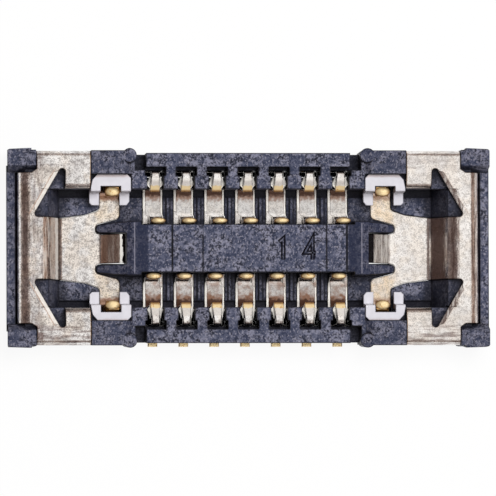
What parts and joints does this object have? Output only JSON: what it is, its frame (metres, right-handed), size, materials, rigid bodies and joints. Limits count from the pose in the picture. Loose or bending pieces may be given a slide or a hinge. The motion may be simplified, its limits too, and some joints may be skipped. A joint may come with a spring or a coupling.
{
  "type": "fpc connector",
  "caption": "Low two-row board-to-FPC receptacle: black housing with centre island, U-shaped plated contacts, folded metal end fittings and pale power contact guards.",
  "frame": {"origin": "centre of the footprint on the solder plane", "axes": "+Z points to the mating side, X runs along the two contact rows, Y across them"},
  "size_m": [0.0054, 0.0022, 0.0006],
  "materials": {
    "housing": "black glass filled liquid crystal polymer, fine mould texture",
    "end_fitting": "stamped sheet, satin nickel plating, gold only on the power arm bumps",
    "power_guard": "smooth pale lilac",
    "signal_contact": "copper alloy strip, nickel plated, gold on the two bumps and the solder tail"
  },
  "bodies": {
    "root": {"housing": "housing", "end_fitting_left": "end_fitting", "end_fitting_right": "end_fitting", "power_guard_left_upper": "power_guard", "power_guard_left_lower": "power_guard", "power_guard_right_upper": "power_guard", "power_guard_right_lower": "power_guard", "signal_contact_upper_1": "signal_contact", "signal_contact_upper_2": "signal_contact", "signal_contact_upper_3": "signal_contact", "signal_contact_upper_4": "signal_contact", "signal_contact_upper_5": "signal_contact", "signal_contact_upper_6": "signal_contact", "signal_contact_upper_7": "signal_contact", "signal_contact_lower_1": "signal_contact", "signal_contact_lower_2": "signal_contact", "signal_contact_lower_3": "signal_contact", "signal_contact_lower_4": "signal_contact", "signal_contact_lower_5": "signal_contact", "signal_contact_lower_6": "signal_contact", "signal_contact_lower_7": "signal_contact"}
  },
  "joints": []
}
